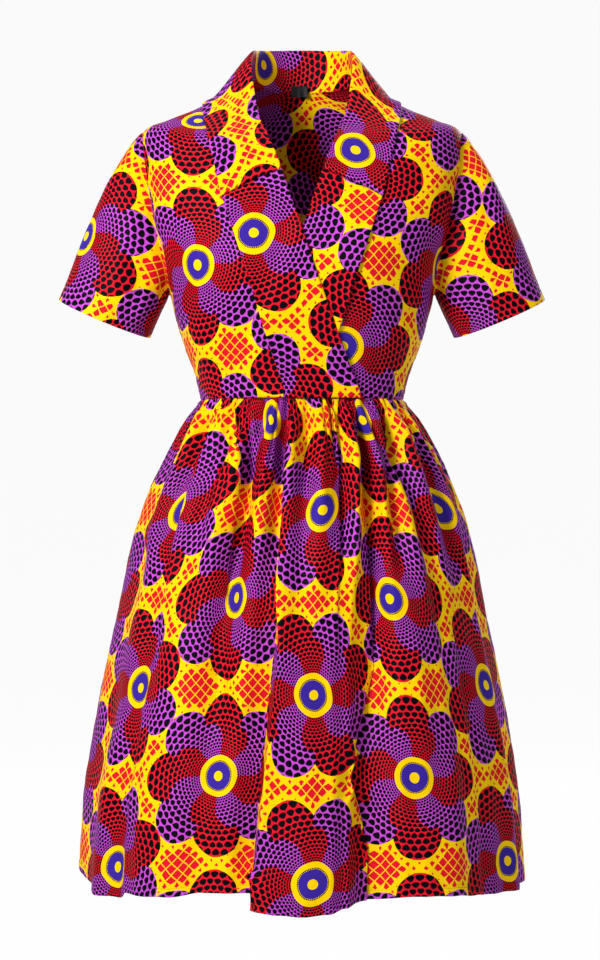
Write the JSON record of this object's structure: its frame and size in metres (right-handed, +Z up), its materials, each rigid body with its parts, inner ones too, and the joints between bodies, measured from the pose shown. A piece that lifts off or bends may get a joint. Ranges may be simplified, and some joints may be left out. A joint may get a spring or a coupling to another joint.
{
  "type": "short sleeve dress",
  "caption": "Short sleeve wrap-front dress in printed cotton with a turned-down collar, long lapels, a waist seam and a gathered knee-length skirt, filled out as if worn.",
  "frame": {"origin": "middle of the neck opening, at the height of the two neck points where the shoulder seams meet the collar", "axes": "+Z up, the front faces -Y, +X is the wearer's left"},
  "size_m": [0.6052, 0.5012, 1.0512],
  "materials": {
    "print_cotton": "printed cotton, plain weave, soft sheen",
    "label_satin": "woven satin, black"
  },
  "bodies": {
    "root": {"back": "print_cotton", "front_left": "print_cotton", "front_right": "print_cotton", "lapel_left": "print_cotton", "lapel_right": "print_cotton", "collar": "print_cotton", "sleeve_left": "print_cotton", "sleeve_right": "print_cotton", "skirt_front": "print_cotton", "skirt_back": "print_cotton", "label": "label_satin"}
  },
  "joints": []
}
